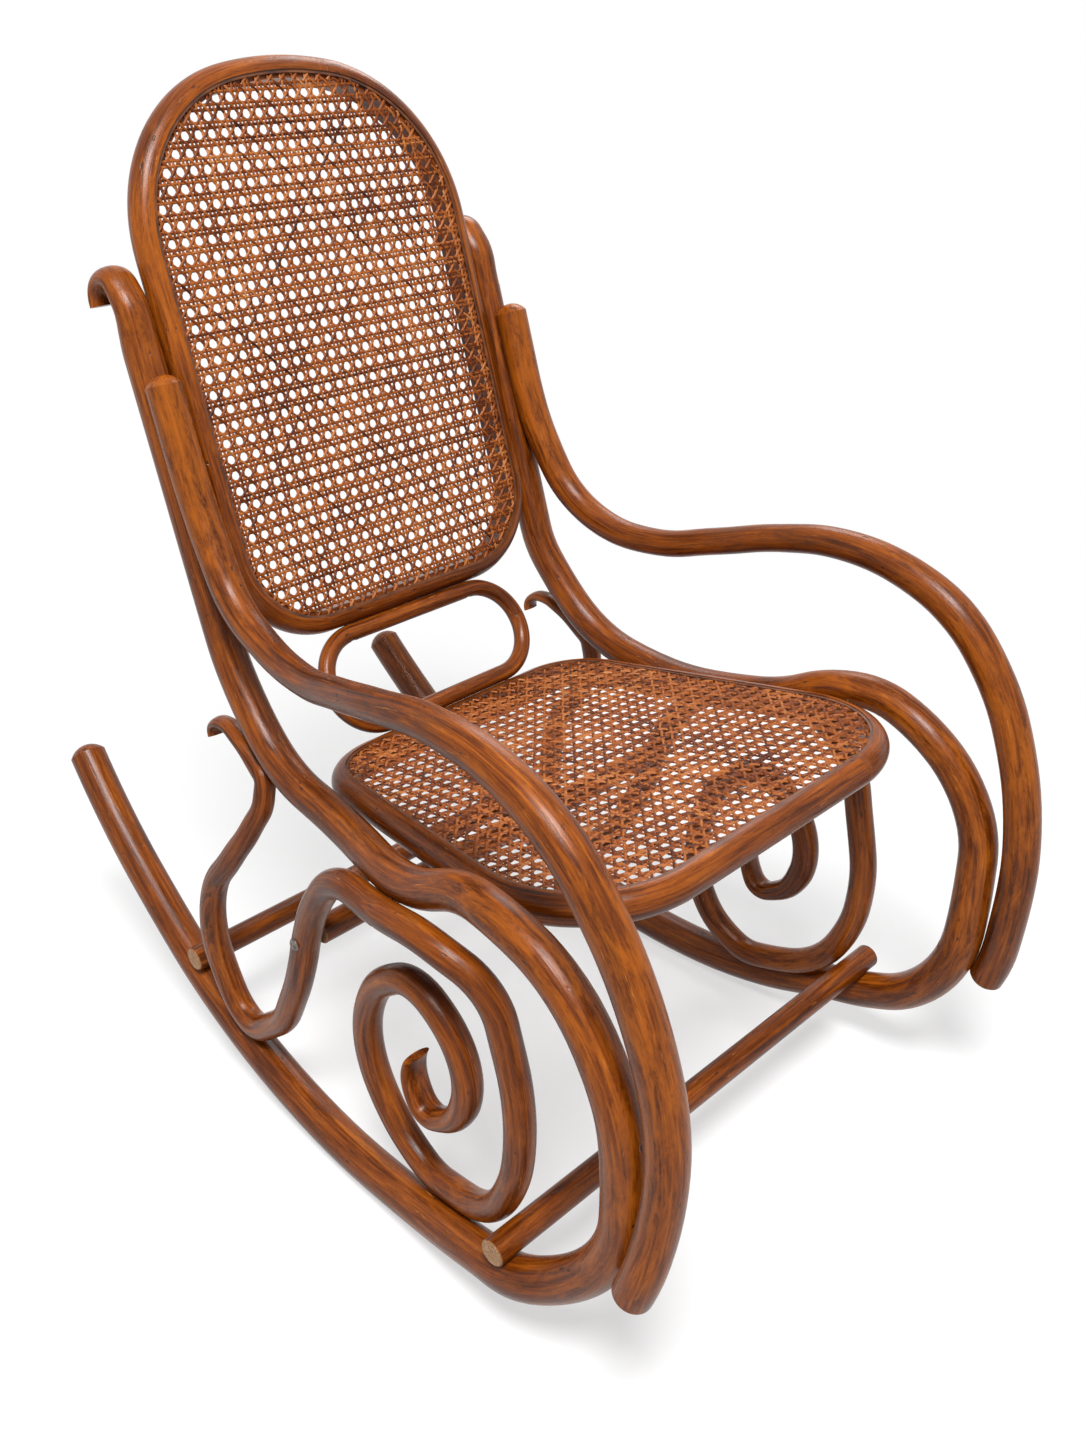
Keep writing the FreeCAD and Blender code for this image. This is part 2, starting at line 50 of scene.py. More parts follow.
SIDE_LINE = [
    (215, 289, 818), (215, 285, 838), (215, 265, 846), (215, 247, 831), (215, 231, 782),
    (215, 191, 653), (215, 151, 525), (219, 107, 458), (222, 69, 425), (229, -47, 396),
    (252, -154, 402), (264, -265, 442), (268, -365, 412), (270, -415, 348), (266, -428, 258),
    (265, -419, 176), (271, -371, 104), (279, -318, 70), (275, -262, 54), (267, -190, 35),
    (257, -9, 22), (250, 138, 51), (245, 232, 89), (241, 300, 130), (235, 392, 198),
    (228, 467, 270),
]
# Each spot of wear: its place along the rod and its reach in metres, and how far it is rubbed
# bright (more than 0) or soiled (less than 0).
SIDE_WEAR = [
    (0.05, 0.06, 0.5), (0.62, 0.12, -0.5), (0.92, 0.12, 0.5), (1.18, 0.12, 0.6),
    (1.75, 0.2, -0.3), (2.15, 0.12, -0.5),
]
MERGE_WITHIN = 0.00001
ROD_EDGE = math.radians(38)
END_MARGIN = 0.0002
LINE_STEPS = 24


class Recipe:
    """The nodes of one finish, wired as they are added."""

    def __init__(self, name):
        self.material = bpy.data.materials.new(name)
        self.material.use_nodes = True
        self.tree = self.material.node_tree
        self.shader = self.tree.nodes["Principled BSDF"]

    def fill(self, socket, value):
        if isinstance(value, bpy.types.NodeSocket):
            self.tree.links.new(value, socket)
        else:
            socket.default_value = value

    def add(self, kind, *values, out=0, **settings):
        node = self.tree.nodes.new("ShaderNode" + kind)
        for name, value in settings.items():
            setattr(node, name, value)
        for socket, value in zip(node.inputs, values):
            if value is not None:
                self.fill(socket, value)
        return node.outputs[out]

    def attribute(self, name, out="Vector"):
        return self.add("Attribute", attribute_name=name, out=out)

    def math(self, operation, a, b=0.0, c=0.0):
        return self.add("Math", a, b, c, operation=operation)

    def stretch(self, vector, *scale):
        return self.add("VectorMath", vector, scale, operation="MULTIPLY")

    def noise(self, vector, detail=3.0, roughness=0.55, distortion=0.0):
        node = self.tree.nodes.new("ShaderNodeTexNoise")
        self.fill(node.inputs["Vector"], vector)
        node.inputs["Scale"].default_value = 1.0
        node.inputs["Detail"].default_value = detail
        node.inputs["Roughness"].default_value = roughness
        node.inputs["Distortion"].default_value = distortion
        return node.outputs["Fac"]

    def between(self, value, low, high):
        return self.add("MapRange", value, low, high, interpolation_type="SMOOTHSTEP")

    def ramp(self, value, *stops):
        node = self.tree.nodes.new("ShaderNodeValToRGB")
        elements = node.color_ramp.elements
        while len(elements) < len(stops):
            elements.new(0.5)
        for element, (place, colour) in zip(elements, stops):
            element.position = place
            element.color = (*colour, 1.0)
        self.fill(node.inputs["Fac"], value)
        return node.outputs["Color"]

    def tint(self, share, colour, other):
        node = self.tree.nodes.new("ShaderNodeMix")
        node.data_type = "RGBA"
        self.fill(node.inputs[0], share)
        for socket, value in ((node.inputs[6], colour), (node.inputs[7], other)):
            self.fill(socket, value if isinstance(value, bpy.types.NodeSocket) else (*value, 1.0))
        return node.outputs[2]

    def bump(self, height, distance):
        node = self.tree.nodes.new("ShaderNodeBump")
        node.inputs["Strength"].default_value = 1.0
        node.inputs["Distance"].default_value = distance
        self.fill(node.inputs["Height"], height)
        self.fill(self.shader.inputs["Normal"], node.outputs["Normal"])

    def finish(self, **inputs):
        for name, value in inputs.items():
            label = name.replace("_", " ").title().replace("Ior", "IOR")
            self.fill(self.shader.inputs[label], value)
        return self.material


def stained_beech():
    """Red-brown stain over beech grain that follows each bend, rubbed, soiled and scratched."""
    wood = Recipe("stained_beech")
    grain = wood.attribute("grain")
    wear = wood.attribute("wear", out="Fac")
    room = wood.add("TexCoord", out="Object")
    bands = wood.noise(wood.stretch(grain, 190, 190, 8), detail=5, roughness=0.65, distortion=0.8)
    fibres = wood.noise(wood.stretch(grain, 480, 480, 16), detail=5, roughness=0.7)
    patches = wood.noise(wood.stretch(grain, 40, 40, 7), detail=5, roughness=0.65)
    smoke = wood.noise(wood.stretch(grain, 100, 100, 22), detail=7, roughness=0.72, distortion=0.5)
    tone = wood.math("MULTIPLY_ADD", bands, 0.45, wood.math(
        "MULTIPLY_ADD", fibres, 0.25, wood.math("MULTIPLY", patches, 0.30)))
    colour = wood.ramp(
        tone,
        (0.39, (0.040, 0.008, 0.001)),
        (0.47, (0.125, 0.026, 0.002)),
        (0.54, (0.240, 0.055, 0.004)),
        (0.64, (0.420, 0.115, 0.010)))
    rubbed = wood.between(wood.math("MULTIPLY_ADD", wear, 0.20, smoke), 0.50, 0.78)
    colour = wood.tint(wood.math("MULTIPLY", rubbed, 0.60), colour, (0.480, 0.125, 0.008))
    soiled = wood.between(wood.math("MULTIPLY_ADD", wear, -0.20, smoke), 0.54, 0.78)
    colour = wood.tint(wood.math("MULTIPLY", soiled, 0.62), colour, (0.045, 0.020, 0.013))
    streaks = wood.noise(wood.stretch(grain, 300, 300, 24), detail=6, roughness=0.7, distortion=0.3)
    scratched = wood.between(streaks, 0.63, 0.71)
    colour = wood.tint(wood.math("MULTIPLY", scratched, 0.7), colour, (0.600, 0.215, 0.045))
    pores = wood.noise(wood.stretch(grain, 1100, 1100, 95), detail=2)
    flecked = wood.between(pores, 0.63, 0.71)
    colour = wood.tint(wood.math("MULTIPLY", flecked, 0.7), colour, (0.030, 0.009, 0.004))
    nicks = wood.add("TexVoronoi", wood.stretch(grain, 110, 110, 38), None, 1.0, out="Distance")
    chosen = wood.between(wood.noise(wood.stretch(room, 55, 55, 55), detail=1), 0.56, 0.6)
    nicked = wood.math("MULTIPLY", wood.between(nicks, 0.17, 0.09), chosen)
    colour = wood.tint(wood.math("MULTIPLY", nicked, 0.8), colour, (0.045, 0.016, 0.009))
    ends = wood.attribute("end_face", out="Fac")
    rings = wood.noise(wood.stretch(grain, 420, 420, 0), detail=4, distortion=1.2)
    sawn = wood.ramp(rings, (0.36, (0.220, 0.095, 0.036)), (0.60, (0.560, 0.330, 0.170)))
    colour = wood.tint(ends, colour, sawn)
    gloss = wood.math("MULTIPLY_ADD", smoke, 0.26, 0.15)
    gloss = wood.math("MULTIPLY_ADD", scratched, 0.18, gloss)
    gloss = wood.math("MULTIPLY_ADD", ends, 0.25, gloss)
    height = wood.math("MULTIPLY_ADD", fibres, 0.35, wood.math("MULTIPLY", bands, 0.6))
    height = wood.math("MULTIPLY_ADD", nicked, -0.9, height)
    height = wood.math("MULTIPLY_ADD", scratched, -0.12, height)
    wood.bump(height, 0.0005)
    return wood.finish(base_color=colour, roughness=gloss, specular_ior_level=0.22)


BEECH = stained_beech()


def centre_line(points):
    """Dense points of the line that a rod's middle follows, in metres."""
    curve = bpy.data.curves.new("line", "CURVE")
    curve.dimensions = "3D"
    spline = curve.splines.new("BEZIER")
    spline.bezier_points.add(len(points) - 1)
    spline.resolution_u = LINE_STEPS
    for knot, point in zip(spline.bezier_points, points):
        knot.co = Vector(point) * MM
        knot.handle_left_type = knot.handle_right_type = "AUTO"
    holder = bpy.data.objects.new("line", curve)
    mesh = bpy.data.meshes.new_from_object(holder)
    line = [vertex.co.copy() for vertex in mesh.vertices]
    bpy.data.objects.remove(holder)
    bpy.data.curves.remove(curve)
    bpy.data.meshes.remove(mesh)
    return line


def lay_grain(piece, line, wear=(), ends=False, start=0.0):
    """Gives each vertex its place in the straight rod that was bent: two across and one along.

    Each rod has a start of its own along the grain, so no two rods show the same figure.
    """
    tangents = [(b - a).normalized() for a, b in zip(line, line[1:])]
    tangents.append(tangents[-1])
    lengths = [0.0]
    for a, b in zip(line, line[1:]):
        lengths.append(lengths[-1] + (b - a).length)
    side = tangents[0].orthogonal().normalized()
    sides = []
    for tangent in tangents:
        side = (side - tangent * side.dot(tangent)).normalized()
        sides.append(side)
    tree = KDTree(len(line))
    for i, point in enumerate(line):
        tree.insert(point, i)
    tree.balance()
    mesh = piece.data
    for name, kind in (("grain", "FLOAT_VECTOR"), ("wear", "FLOAT"), ("end_face", "FLOAT")):
        mesh.attributes.new(name, kind, "POINT")
    grain, worn, end_face = (mesh.attributes[name] for name in ("grain", "wear", "end_face"))
    for vertex in mesh.vertices:
        _, i, _ = tree.find(vertex.co)
        away = vertex.co - line[i]
        along = lengths[i] + away.dot(tangents[i])
        grain.data[vertex.index].vector = (
            away.dot(sides[i]), away.dot(tangents[i].cross(sides[i])), start + along)
        worn.data[vertex.index].value = sum(
            amount * math.exp(-((along - place) / reach) ** 2) for place, reach, amount in wear)
        past_end = along < END_MARGIN or along > lengths[-1] - END_MARGIN
        end_face.data[vertex.index].value = 1.0 if ends and past_end else 0.0


def wooden(node, name, line, **grain):
    """The finished wooden piece that stands for a CAD node: its own copy of the solid's skin."""
    piece = bpy.data.objects.new(name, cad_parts[node].data.copy())
    bpy.context.collection.objects.link(piece)
    bpy.ops.object.select_all(action="DESELECT")
    bpy.context.view_layer.objects.active = piece
    piece.select_set(True)
    bpy.ops.mesh.customdata_custom_splitnormals_clear()
    bpy.ops.object.mode_set(mode="EDIT")
    bpy.ops.mesh.select_all(action="SELECT")
    bpy.ops.mesh.remove_doubles(threshold=MERGE_WITHIN)
    bpy.ops.object.mode_set(mode="OBJECT")
    bpy.ops.object.shade_smooth_by_angle(angle=ROD_EDGE)
    lay_grain(piece, line, **grain)
    piece.data.materials.clear()
    piece.data.materials.append(BEECH)
    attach(piece, "root")
    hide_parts(node)


def mirrored(points):
    """The same line on the chair's other side."""
    return [(-x, y, z) for x, y, z in points]


wooden("side_frame_left", "bent_side_left", centre_line(SIDE_LINE), wear=SIDE_WEAR)
wooden("side_frame_right", "bent_side_right", centre_line(mirrored(SIDE_LINE)), wear=SIDE_WEAR,
       start=4.0)

# Arms: one bent rod each, screwed to the stile at the top and to the front loop at the bottom.
# The upper ends are rubbed to orange wood, and hands have darkened the crests.
ARM_LINE = [
    (220, 194, 762), (220, 175, 700), (221, 144, 626), (226, 103, 572), (230, 49, 546),
    (240, -18, 542), (253, -85, 558), (265, -151, 576), (270, -221, 588), (272, -292, 582),
    (274, -359, 553), (274, -412, 496), (271, -449, 420), (268, -468, 340), (270, -469, 260),
    (280, -452, 165),
]
ARM_WEAR = [
    (0.05, 0.16, 0.9), (0.30, 0.07, -0.2), (0.52, 0.12, -0.7), (0.62, 0.05, 0.4), (0.85, 0.16, 0.7),
]
wooden("arm_left", "bent_arm_left", centre_line(ARM_LINE), wear=ARM_WEAR, start=8.0)
wooden("arm_right", "bent_arm_right", centre_line(mirrored(ARM_LINE)), wear=ARM_WEAR, start=11.0)

# Scroll braces: a thinner rod on each side, tapered at its tip, that curls behind the stile,
# stands twice on the rocker, arches under the rail and ends in a flattened spiral.
SCROLL_LINE = [
    (225, 170, 411), (225, 170, 420), (226, 161, 429), (226, 146, 432), (228, 119, 424),
    (231, 84, 402), (236, 78, 378), (246, 93, 340), (254, 119, 300), (258, 156, 246),
    (259, 168, 187), (256, 165, 141), (254, 128, 83), (255, 67, 114), (258, 24, 181),
    (260, 2, 232), (260, -9, 268), (262, -32, 319), (265, -68, 363), (277, -154, 381),
    (279, -221, 385), (265, -270, 356), (260, -294, 292), (261, -305, 219), (261, -296, 156),
    (258, -263, 98), (249, -185, 65), (246, -130, 82), (247, -100, 118), (251, -86, 173),
    (254, -94, 229), (256, -124, 278), (257, -169, 300), (257, -209, 281), (256, -232, 239),
    (256, -229, 197), (256, -207, 165), (256, -176, 155), (256, -161, 176), (256, -163, 213),
]
SCROLL_WEAR = [(0.35, 0.08, 0.5), (0.8, 0.1, -0.6), (1.3, 0.12, 0.4), (1.75, 0.1, -0.4)]
wooden("scroll_left", "scroll_brace_left", centre_line(SCROLL_LINE), wear=SCROLL_WEAR, start=14.0)
wooden("scroll_right", "scroll_brace_right", centre_line(mirrored(SCROLL_LINE)), wear=SCROLL_WEAR,
       start=17.0)

# Back hoop, seat ring and back loop: closed hoops of bent rod, flat on their caned face, with a
# groove for the cane's edge. The loop fills the space between the hoop and the seat.
BACK_LEAN = math.radians(17.3)
BACK_UP = Vector((0, math.sin(BACK_LEAN), math.cos(BACK_LEAN)))
BACK_FOOT = Vector((0, 141, 512)) * MM
SEAT_SLOPE = math.radians(6.9)
SEAT_BACK = Vector((0, math.cos(SEAT_SLOPE), -math.sin(SEAT_SLOPE)))
SEAT_REAR = Vector((0, 54, 389)) * MM
ACROSS = Vector((1, 0, 0))
HOOP_ROD = 16.5
SEAT_ROD = 15.5
LOOP_ROD = 9.1
RING_STEP = 5


def rounded(corners, radii, steps=16):
    """The flat outline of a hoop: straight sides with an arc round each corner, in mm."""
    outline = []
    for i, (corner, radius) in enumerate(zip(corners, radii)):
        here = Vector(corner)
        before = (Vector(corners[i - 1]) - here).normalized()
        after = (Vector(corners[(i + 1) % len(corners)]) - here).normalized()
        half = before.angle(after) / 2
        centre = here + (before + after).normalized() * (radius / math.sin(half))
        first = here + before * (radius / math.tan(half)) - centre
        last = here + after * (radius / math.tan(half)) - centre
        sweep = math.pi - 2 * half
        for k in range(steps + 1):
            share = k / steps
            turn = first * math.sin((1 - share) * sweep) + last * math.sin(share * sweep)
            outline.append(centre + turn / math.sin(sweep))
    return outline


HOOP_OUTLINE = rounded(
    [(0, 522), (-180.9, 492), (-180.9, 0), (180.9, 0), (180.9, 492)],
    [340, 148, 82, 82, 148])
SEAT_OUTLINE = rounded([(250, -416), (173, 0), (-173, 0), (-250, -416)], [105, 66, 66, 105])


def on_plane(outline, origin, up):
    """A flat outline's points in the plane of the back or the seat, in mm."""
    return [(origin + ACROSS * (x * MM) + up * (y * MM)) / MM for x, y in outline]


def densely(points):
    """Close-set points along a closed outline, in metres, with the first one again at the end."""
    found = []
    for a, b in zip(points, points[1:] + points[:1]):
        count = max(1, int((b - a).length / RING_STEP))
        found += [a.lerp(b, k / count) for k in range(count)]
    return [point * MM for point in found + points[:1]]


HOOP_RING = densely(on_plane(HOOP_OUTLINE, BACK_FOOT, BACK_UP))
SEAT_RING = densely(on_plane(SEAT_OUTLINE, SEAT_REAR, SEAT_BACK))
low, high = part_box("back_loop")
LOOP_UP = (BACK_FOOT - SEAT_REAR).normalized()
LOOP_MIDDLE = (low + high) / 2
LOOP_HALF = ((BACK_FOOT - SEAT_REAR).length / MM - HOOP_ROD - SEAT_ROD) / 2 - LOOP_ROD
LOOP_SIDE = 131
LOOP_CORNERS = [
    (LOOP_SIDE, LOOP_HALF), (-LOOP_SIDE, LOOP_HALF),
    (-LOOP_SIDE, -LOOP_HALF), (LOOP_SIDE, -LOOP_HALF),
]
LOOP_OUTLINE = rounded(LOOP_CORNERS, [LOOP_HALF - 0.5] * 4)
LOOP_RING = densely(on_plane(LOOP_OUTLINE, LOOP_MIDDLE, LOOP_UP))
HOOP_WEAR = [(0.3, 0.1, 0.4), (0.9, 0.15, -0.3)]
SEAT_WEAR = [(0.2, 0.15, 0.5), (1.0, 0.3, -0.2)]
wooden("back_hoop", "bent_back_hoop", HOOP_RING, wear=HOOP_WEAR, start=20.0)
wooden("seat_ring", "bent_seat_ring", SEAT_RING, wear=SEAT_WEAR, start=23.0)
wooden("back_loop", "bent_back_loop", LOOP_RING, start=26.0)

# Stretchers: three turned bars. Two lie on the rockers and show their sawn ends, and one joins
# the scroll braces under the seat.
BAR_STEPS = 60
for number, name in enumerate(("front_stretcher", "rear_stretcher", "middle_stretcher")):
    low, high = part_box(name)
    middle = (low + high) / 2
    ends = [Vector((x, middle.y, middle.z)) for x in (low.x, high.x)]
    bar_line = [ends[0].lerp(ends[1], k / BAR_STEPS) for k in range(BAR_STEPS + 1)]
    wooden(name, "turned_" + name, bar_line, ends=True, start=29.0 + number)

# Cane: strips of split cane woven in six directions, with pairs up and across and one strip
# along each diagonal, which leave eight-sided holes. Spline strips wedge it into the grooves.
# Widths, waves and pitches are in mm, and the section's corners are shares of width and thickness.
STRIP_WIDTH = 2.85
STRIP_THICKNESS = 1.9
STRIP_SECTION = [(-0.5, -0.1), (-0.22, 0.5), (0.22, 0.5), (0.5, -0.1)]
STRIP_EDGE = math.radians(60)
SHORTEST_STRIP = 6
UNEVEN_PITCH = 0.12
SWAY = 0.16
SWAY_REACH = 23
FULL_TURN = 6.28
TREMBLE = 0.05
PAIR_HALF = 0.145
STRAIGHT_WAVE = 0.45
DIAGONAL_WAVE = 0.85
WAVE_STEPS = 6
CANE_EDGE = 2.2
LEDGE_SHARE = 0.72
CANE_RISE = 1.25
BACK_PITCH = (14.45, 15.3)
SEAT_PITCH = (13.8, 13.7)
PITCHES_EACH_WAY = 22


def woven_cane():
    """Reddish cane, darker in its pores and stained in patches, with a tone for each strip."""
    cane = Recipe("split_cane")
    grain = cane.attribute("grain")
    tone = cane.attribute("tone", out="Fac")
    room = cane.add("TexCoord", out="Object")
    stains = cane.noise(cane.stretch(room, 16, 16, 16), detail=4)
    flecks = cane.noise(cane.stretch(grain, 900, 900, 60), detail=4, roughness=0.7)
    mixed = cane.math("MULTIPLY_ADD", tone, 0.34, cane.math(
        "MULTIPLY_ADD", flecks, 0.55, cane.math("MULTIPLY", stains, 0.30)))
    colour = cane.ramp(
        mixed,
        (0.40, (0.050, 0.010, 0.002)),
        (0.54, (0.190, 0.042, 0.006)),
        (0.70, (0.370, 0.105, 0.020)),
        (0.90, (0.560, 0.240, 0.085)))
    cane.bump(cane.noise(cane.stretch(grain, 2600, 2600, 30), detail=2), 0.0002)
    gloss = cane.math("MULTIPLY_ADD", flecks, 0.3, 0.25)
    return cane.finish(base_color=colour, roughness=gloss, specular_ior_level=0.16)


CANE = woven_cane()


def chord(outline, point, direction):
    """Where a line enters and leaves a convex outline, as distances along it."""
    side = np.array((-direction[1], direction[0]))
    offsets = (outline - point) @ side
    reach = (outline - point) @ direction
    crossings = []
    for i in range(len(outline)):
        a, b = offsets[i - 1], offsets[i]
        if (a < 0) != (b < 0):
            crossings.append(reach[i - 1] + (reach[i] - reach[i - 1]) * a / (a - b))
    return (min(crossings), max(crossings)) if len(crossings) > 1 else None


def weave(name, node, outline, origin, up, level, families):
    """Lays one set of strips in the plane of a hoop and trims them under its spline."""
    chance = np.random.RandomState(7)
    upward = np.array(up)
    outward = np.array(ACROSS.cross(up).normalized())
    outline = np.array(outline)
    centre = outline.mean(0)
    away = outline - centre
    inner = centre + away * (1 - CANE_EDGE / np.linalg.norm(away, axis=1))[:, None]
    base = np.array(origin) / MM
    corners = len(STRIP_SECTION)
    vertices, quads, tones, grains = [], [], [], []
    for direction, wave, phase, period, lines in families:
        direction = np.array(direction)
        side = np.array((-direction[1], direction[0]))
        for point in lines:
            point = np.array(point) + side * chance.normal(0, UNEVEN_PITCH)
            found = chord(inner, point, direction)
            if found is None or found[1] - found[0] < SHORTEST_STRIP:
                continue
            count = int((found[1] - found[0]) / period * WAVE_STEPS) + 2
            tone = chance.uniform(0, 1)
            phase_of_sway = chance.uniform(0, FULL_TURN)
            first = len(vertices)
            for reach in np.linspace(found[0], found[1], count):
                rise = wave * math.cos(2 * math.pi * (reach - phase) / period)
                drift = SWAY * math.sin(reach / SWAY_REACH + phase_of_sway)
                drift += chance.normal(0, TREMBLE)
                for across, lift in STRIP_SECTION:
                    flat = point + direction * reach + side * (across * STRIP_WIDTH + drift)
                    height = level + rise + lift * STRIP_THICKNESS
                    corner = base + ACROSS * flat[0] + upward * flat[1] + outward * height
                    vertices.append(corner * MM)
                    tones.append(tone)
                    grains.append((across * STRIP_WIDTH * MM, tone, reach * MM))
            for k in range(count - 1):
                row = first + corners * k
                for c in range(corners):
                    d = (c + 1) % corners
                    quads.append((row + c, row + d, row + corners + d, row + corners + c))
            quads.append((first, first + 3, first + 2, first + 1))
            last = first + corners * (count - 1)
            quads.append((last, last + 1, last + 2, last + 3))
    mesh = bpy.data.meshes.new(name)
    mesh.from_pydata([tuple(v) for v in vertices], [], quads)
    tone_layer = mesh.attributes.new("tone", "FLOAT", "POINT")
    tone_layer.data.foreach_set("value", tones)
    grain_layer = mesh.attributes.new("grain", "FLOAT_VECTOR", "POINT")
    grain_layer.data.foreach_set("vector", np.array(grains).ravel())
    piece = bpy.data.objects.new(name, mesh)
    bpy.context.collection.objects.link(piece)
    bpy.ops.object.select_all(action="DESELECT")
    bpy.context.view_layer.objects.active = piece
    piece.select_set(True)
    bpy.ops.object.mode_set(mode="EDIT")
    bpy.ops.mesh.select_all(action="SELECT")
    bpy.ops.mesh.normals_make_consistent(inside=False)
    bpy.ops.object.mode_set(mode="OBJECT")
    bpy.ops.object.shade_smooth_by_angle(angle=STRIP_EDGE)
    mesh.materials.append(CANE)
    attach(piece, "root")
    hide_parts(node)


def caned(title, node, outline, origin, up, rod, pitch):
    """A whole panel: pairs of strips both ways as one piece, and the diagonals as another."""
    wide, tall = pitch
    level = rod * LEDGE_SHARE + CANE_RISE
    rows = PITCHES_EACH_WAY
    pair = (-PAIR_HALF, PAIR_HALF)
    middle = (max(y for _, y in outline) + min(y for _, y in outline)) / 2
    count = range(-rows, rows + 1)
    straight = []
    for offset in pair:
        straight.append((
            (0, 1), STRAIGHT_WAVE, middle - offset * tall, tall,
            [((i + offset) * wide, 0) for i in count]))
        straight.append((
            (1, 0), STRAIGHT_WAVE, offset * wide, wide,
            [(0, middle + (j + offset) * tall) for j in count]))
    weave(title + "_straight", node, outline, origin, up, level, straight)
    long = math.hypot(wide, tall)
    slanted = []
    for way, shift in ((1, 0.0), (-1, 0.5)):
        slanted.append((
            (wide / long, way * tall / long), DIAGONAL_WAVE, long * shift, long,
            [(0, middle + (k + 0.5) * tall) for k in range(-2 * rows, 2 * rows)]))
    weave(title + "_diagonal", node, outline, origin, up, level, slanted)


caned("back_cane", "back_cane_panel", HOOP_OUTLINE, BACK_FOOT, BACK_UP, HOOP_ROD, BACK_PITCH)
caned("seat_cane", "seat_cane_panel", SEAT_OUTLINE, SEAT_REAR, SEAT_BACK, SEAT_ROD, SEAT_PITCH)


def reed_spline_and_groove_shade():
    """Varnished reed, coloured dark to paint the shade of the groove it sits in."""
    reed = Recipe("reed_spline_and_groove_shade")
    room = reed.add("TexCoord", out="Object")
    tone = reed.noise(reed.stretch(room, 60, 60, 60), detail=5)
    # The dark tones are painted shade: they stand for the shadow line in the groove round the cane.
    colour = reed.ramp(tone, (0.35, (0.045, 0.012, 0.004)), (0.65, (0.190, 0.058, 0.016)))
    reed.bump(reed.noise(reed.stretch(room, 700, 700, 700)), 0.0002)
    return reed.finish(base_color=colour, roughness=0.42)


REED_AND_GROOVE_SHADE = reed_spline_and_groove_shade()
for node in ("back_cane_spline", "seat_cane_spline"):
    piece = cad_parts[node]
    piece.data.materials.clear()
    piece.data.materials.append(REED_AND_GROOVE_SHADE)

# Screws and bolts: dark steel, slotted countersunk screws at each joint and two domed bolt heads
# on the outer sides of the scroll braces.


def aged_steel(name, dark, light):
    """Tarnished steel, mottled between a dark and a light tone."""
    steel = Recipe(name)
    room = steel.add("TexCoord", out="Object")
    rust = steel.noise(steel.stretch(room, 420, 420, 420), detail=5, roughness=0.7)
    colour = steel.ramp(rust, (0.38, dark), (0.62, light))
    steel.bump(rust, 0.0002)
    gloss = steel.math("MULTIPLY_ADD", rust, 0.4, 0.2)
    return steel.finish(base_color=colour, roughness=gloss, metallic=0.85)


SCREW_STEEL = aged_steel("aged_screw_steel", (0.045, 0.030, 0.022), (0.210, 0.150, 0.110))
BOLT_STEEL = aged_steel("aged_bolt_steel", (0.060, 0.048, 0.042), (0.260, 0.230, 0.210))
for node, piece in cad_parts.items():
    if node.endswith("_screws") or node == "scroll_bolts":
        piece.data.materials.clear()
        piece.data.materials.append(BOLT_STEEL if node == "scroll_bolts" else SCREW_STEEL)

# Studio: a pale floor that fades to white away from the chair, one soft lamp high up at the front
# left, and a fainter one behind on the right. Camera and glossy rays see white all round.
FLOOR_GREY = 0.45
SHADOWED_GREY = 0.42
FLOOR_GLOW = 0.58
FADE_FROM, FADE_TO = 0.7, 1.5
SKY_LIGHT = 0.24
AIM = (0, 0, 0.4)


def studio_floor():
    """Bounced light meets plain grey, and the camera sees a soft shadow on near white."""
    material = bpy.data.materials.new("studio_floor")
    material.use_nodes = True
    tree = material.node_tree
    tree.nodes.clear()

    def node(kind, **settings):
        made = tree.nodes.new("ShaderNode" + kind)
        for name, value in settings.items():
            setattr(made, name, value)
        return made

    plain = node("BsdfDiffuse")
    plain.inputs["Color"].default_value = (FLOOR_GREY, FLOOR_GREY, FLOOR_GREY, 1)
    shadowed = node("BsdfDiffuse")
    shadowed.inputs["Color"].default_value = (SHADOWED_GREY, SHADOWED_GREY, SHADOWED_GREY, 1)
    glow = node("Emission")
    glow.inputs["Strength"].default_value = FLOOR_GLOW
    white = node("Emission")
    near = node("AddShader")
    tree.links.new(shadowed.outputs[0], near.inputs[0])
    tree.links.new(glow.outputs[0], near.inputs[1])
    place = node("TexCoord")
    length = node("VectorMath", operation="LENGTH")
    tree.links.new(place.outputs["Object"], length.inputs[0])
    fade = node("MapRange", interpolation_type="SMOOTHSTEP")
    tree.links.new(length.outputs["Value"], fade.inputs[0])
    fade.inputs["From Min"].default_value = FADE_FROM
    fade.inputs["From Max"].default_value = FADE_TO
    seen = node("MixShader")
    tree.links.new(fade.outputs[0], seen.inputs[0])
    tree.links.new(near.outputs[0], seen.inputs[1])
    tree.links.new(white.outputs[0], seen.inputs[2])
    ray = node("LightPath")
    either = node("Math", operation="MAXIMUM")
    tree.links.new(ray.outputs["Is Camera Ray"], either.inputs[0])
    tree.links.new(ray.outputs["Is Glossy Ray"], either.inputs[1])
    last = node("MixShader")
    tree.links.new(either.outputs[0], last.inputs[0])
    tree.links.new(plain.outputs[0], last.inputs[1])
    tree.links.new(seen.outputs[0], last.inputs[2])
    tree.links.new(last.outputs[0], node("OutputMaterial").inputs["Surface"])
    return material


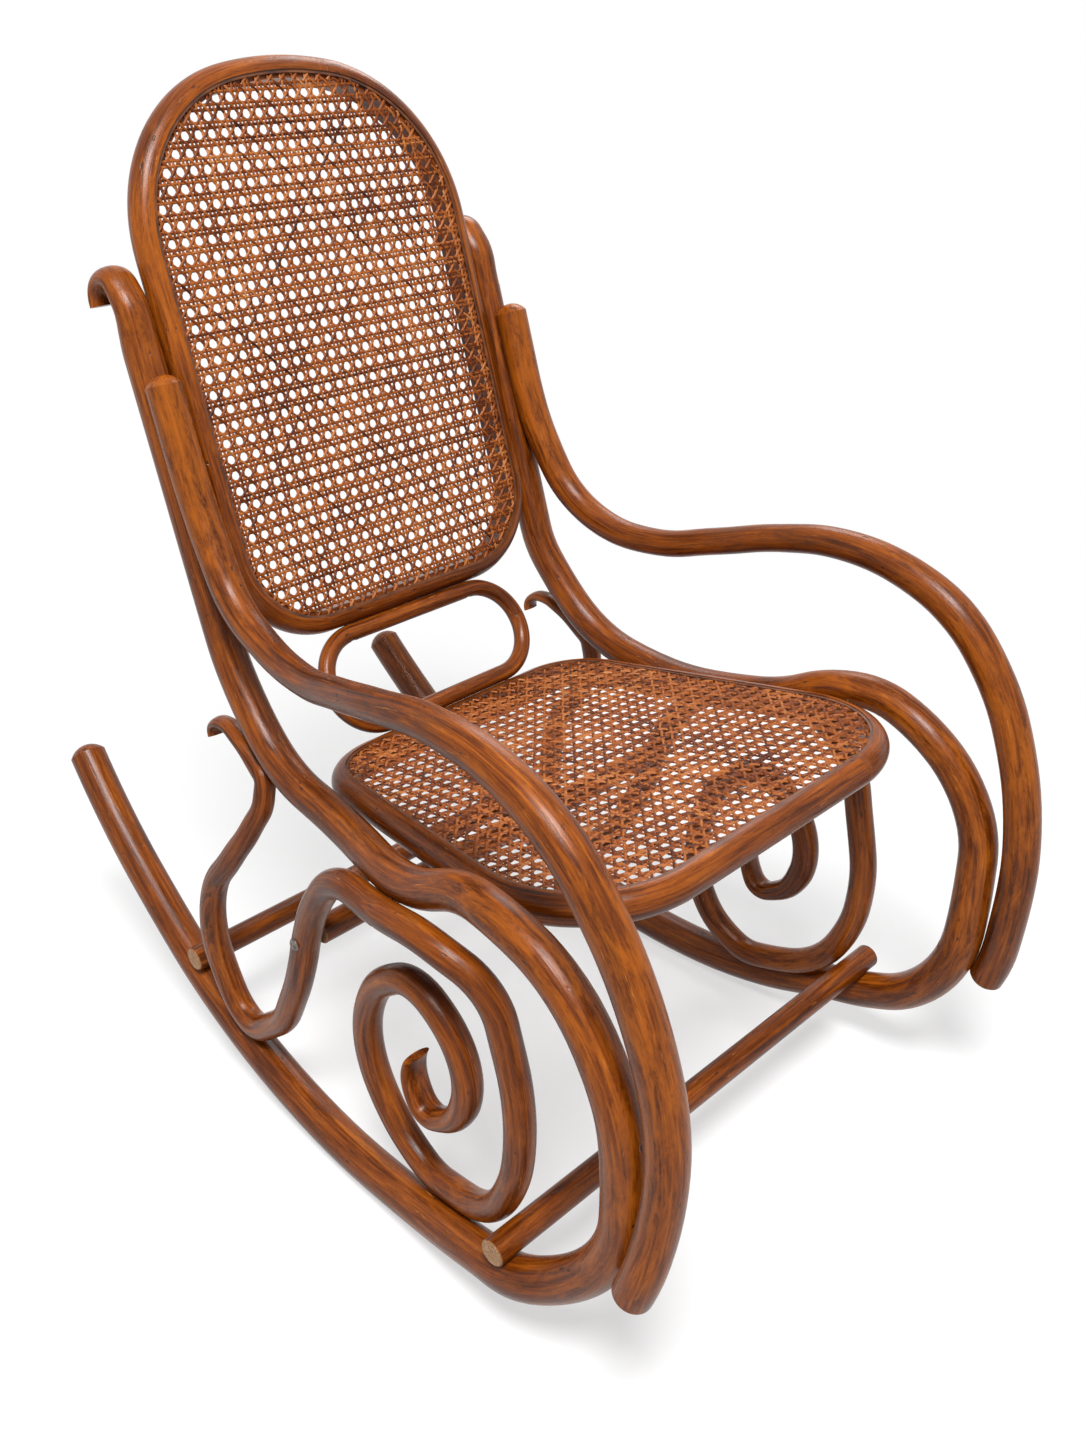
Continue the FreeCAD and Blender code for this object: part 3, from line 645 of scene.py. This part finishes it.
bpy.ops.object.select_all(action="DESELECT")
bpy.ops.mesh.primitive_circle_add(vertices=64, radius=40, fill_type="NGON", location=(0, 0, 0))
floor = bpy.context.object
floor.name = "floor"
floor.data.materials.append(studio_floor())

world = bpy.data.worlds.new("studio")
bpy.context.scene.world = world
world.use_nodes = True
sky = world.node_tree
ray = sky.nodes.new("ShaderNodeLightPath")
either = sky.nodes.new("ShaderNodeMath")
either.operation = "MAXIMUM"
sky.links.new(ray.outputs["Is Camera Ray"], either.inputs[0])
sky.links.new(ray.outputs["Is Glossy Ray"], either.inputs[1])
strength = sky.nodes.new("ShaderNodeMapRange")
sky.links.new(either.outputs[0], strength.inputs[0])
strength.inputs["To Min"].default_value = SKY_LIGHT
strength.inputs["To Max"].default_value = 1.0
sky.links.new(strength.outputs[0], sky.nodes["Background"].inputs["Strength"])
sky.nodes["Background"].inputs["Color"].default_value = (1, 1, 1, 1)


def softbox(name, place, width, power):
    """A round soft lamp aimed at the chair."""
    bpy.ops.object.light_add(type="AREA", location=place)
    lamp = bpy.context.object
    lamp.name = name
    lamp.data.shape = "DISK"
    lamp.data.size = width
    lamp.data.energy = power
    lamp.rotation_euler = (Vector(AIM) - Vector(place)).to_track_quat("-Z", "Y").to_euler()


softbox("key_lamp", (-1.5, -1.6, 4.2), width=1.4, power=235)
softbox("fill_lamp", (1.5, 0.9, 2.2), width=1.0, power=16)

# Camera: it stands where the photograph was taken from, in front of the sitter's right arm and
# just above the top of the back, and looks down on the chair. The longer side of the photograph
# is 1448 pixels and the lens was solved in those pixels.
SENSOR = 36
PHOTO_HEIGHT = 1448
LENS_IN_PIXELS = 1381.665
bpy.ops.object.camera_add(
    location=(-0.86648, -0.93266, 1.08759),
    rotation=(math.radians(61.634), 0, math.radians(-45.263)))
camera = bpy.context.object
camera.data.sensor_width = SENSOR
camera.data.lens = LENS_IN_PIXELS * SENSOR / PHOTO_HEIGHT
bpy.context.scene.camera = camera
bpy.context.scene.view_settings.view_transform = "Standard"
